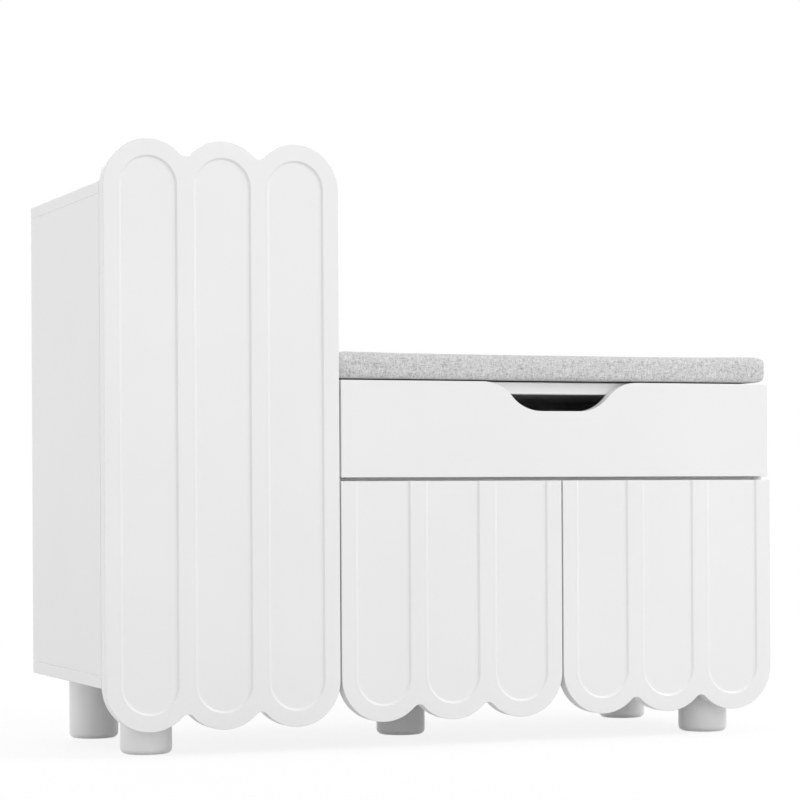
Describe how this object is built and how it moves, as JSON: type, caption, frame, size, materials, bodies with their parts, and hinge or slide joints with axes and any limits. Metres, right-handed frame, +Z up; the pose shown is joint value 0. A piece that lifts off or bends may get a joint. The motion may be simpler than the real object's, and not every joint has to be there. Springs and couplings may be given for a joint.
{
  "type": "shoe storage bench",
  "caption": "White scalloped shoe storage bench with a tall side cabinet, hinged doors, a sliding drawer with a finger scoop and a grey linen seat cushion.",
  "frame": {"origin": "floor level, under the middle of the whole box", "axes": "+X to the bench end, +Y to the back, +Z up; the doors face -Y"},
  "size_m": [0.888, 0.35, 0.733],
  "materials": {
    "white_lacquer": "satin lacquer",
    "white_board": "melamine",
    "white_hardboard": "painted",
    "grey_linen": "linen weave",
    "hook_and_loop": "pile",
    "zinc_steel": "zinc plated",
    "white_plastic": "moulded",
    "beech": "raw"
  },
  "bodies": {
    "ball_cages": {"ball_cages": "zinc_steel"},
    "carcass": {"base_panel": "white_board", "bench_back_panel": "white_hardboard", "bench_left_side": "white_board", "bench_right_side": "white_board", "bench_shelf_left": "white_board", "bench_shelf_right": "white_board", "cabinet_connectors": "zinc_steel", "cam_bolts": "zinc_steel", "cam_locks": "zinc_steel", "carcass_screws": "zinc_steel", "centre_divider": "white_board", "cushion": "grey_linen", "dowels": "beech", "drawer_deck": "white_board", "foot_centre": "white_lacquer", "foot_front_left": "white_lacquer", "foot_front_right": "white_lacquer", "foot_rear_left": "white_lacquer", "foot_rear_right": "white_lacquer", "foot_studs": "zinc_steel", "hinge_plates": "zinc_steel", "hook_and_loop_strips": "hook_and_loop", "left_hinge_arms": "zinc_steel", "magnetic_catches": "white_plastic", "right_hinge_arms": "zinc_steel", "runner_channel_left": "zinc_steel", "runner_channel_right": "zinc_steel", "seat_board": "white_board", "shelf_pins": "zinc_steel", "tall_back_panel": "white_hardboard", "tall_hinge_arms": "zinc_steel", "tall_left_side": "white_board", "tall_right_side": "white_board", "tall_shelf_lower": "white_board", "tall_shelf_middle": "white_board", "tall_shelf_upper": "white_board", "tall_top_panel": "white_board"},
    "drawer": {"drawer_back": "white_board", "drawer_bottom": "white_hardboard", "drawer_dowels": "beech", "drawer_front": "white_lacquer", "drawer_left_side": "white_board", "drawer_right_side": "white_board", "drawer_screws": "zinc_steel", "runner_rail_left": "zinc_steel", "runner_rail_right": "zinc_steel"},
    "left_door": {"left_door": "white_lacquer", "left_door_screws": "zinc_steel", "left_hinge_cups": "zinc_steel", "left_strike_plate": "zinc_steel"},
    "right_door": {"right_door": "white_lacquer", "right_door_screws": "zinc_steel", "right_hinge_cups": "zinc_steel", "right_strike_plate": "zinc_steel"},
    "tall_door": {"tall_door": "white_lacquer", "tall_door_screws": "zinc_steel", "tall_hinge_cups": "zinc_steel", "tall_strike_plate": "zinc_steel"}
  },
  "joints": [
    {"name": "tall_door_hinge", "type": "hinge", "parent": "carcass", "child": "tall_door", "pos_m": [-0.4415, -0.1725, 0.38], "axis": [0, 0, -1], "range_deg": [0, 95]},
    {"name": "left_door_hinge", "type": "hinge", "parent": "carcass", "child": "left_door", "pos_m": [-0.145, -0.1725, 0.18], "axis": [0, 0, -1], "range_deg": [0, 95]},
    {"name": "right_door_hinge", "type": "hinge", "parent": "carcass", "child": "right_door", "pos_m": [0.4415, -0.1725, 0.18], "axis": [0, 0, 1], "range_deg": [0, 95]},
    {"name": "drawer_slide", "type": "slide", "parent": "carcass", "child": "drawer", "axis": [0, -1, 0], "range_m": [0, 0.2]},
    {"name": "cage_slide", "type": "slide", "parent": "carcass", "child": "ball_cages", "axis": [0, -1, 0], "range_m": [0, 0.1]}
  ],
  "couplings": [
    {"joint": "cage_slide", "follows": "drawer_slide", "ratio": 0.5}
  ]
}
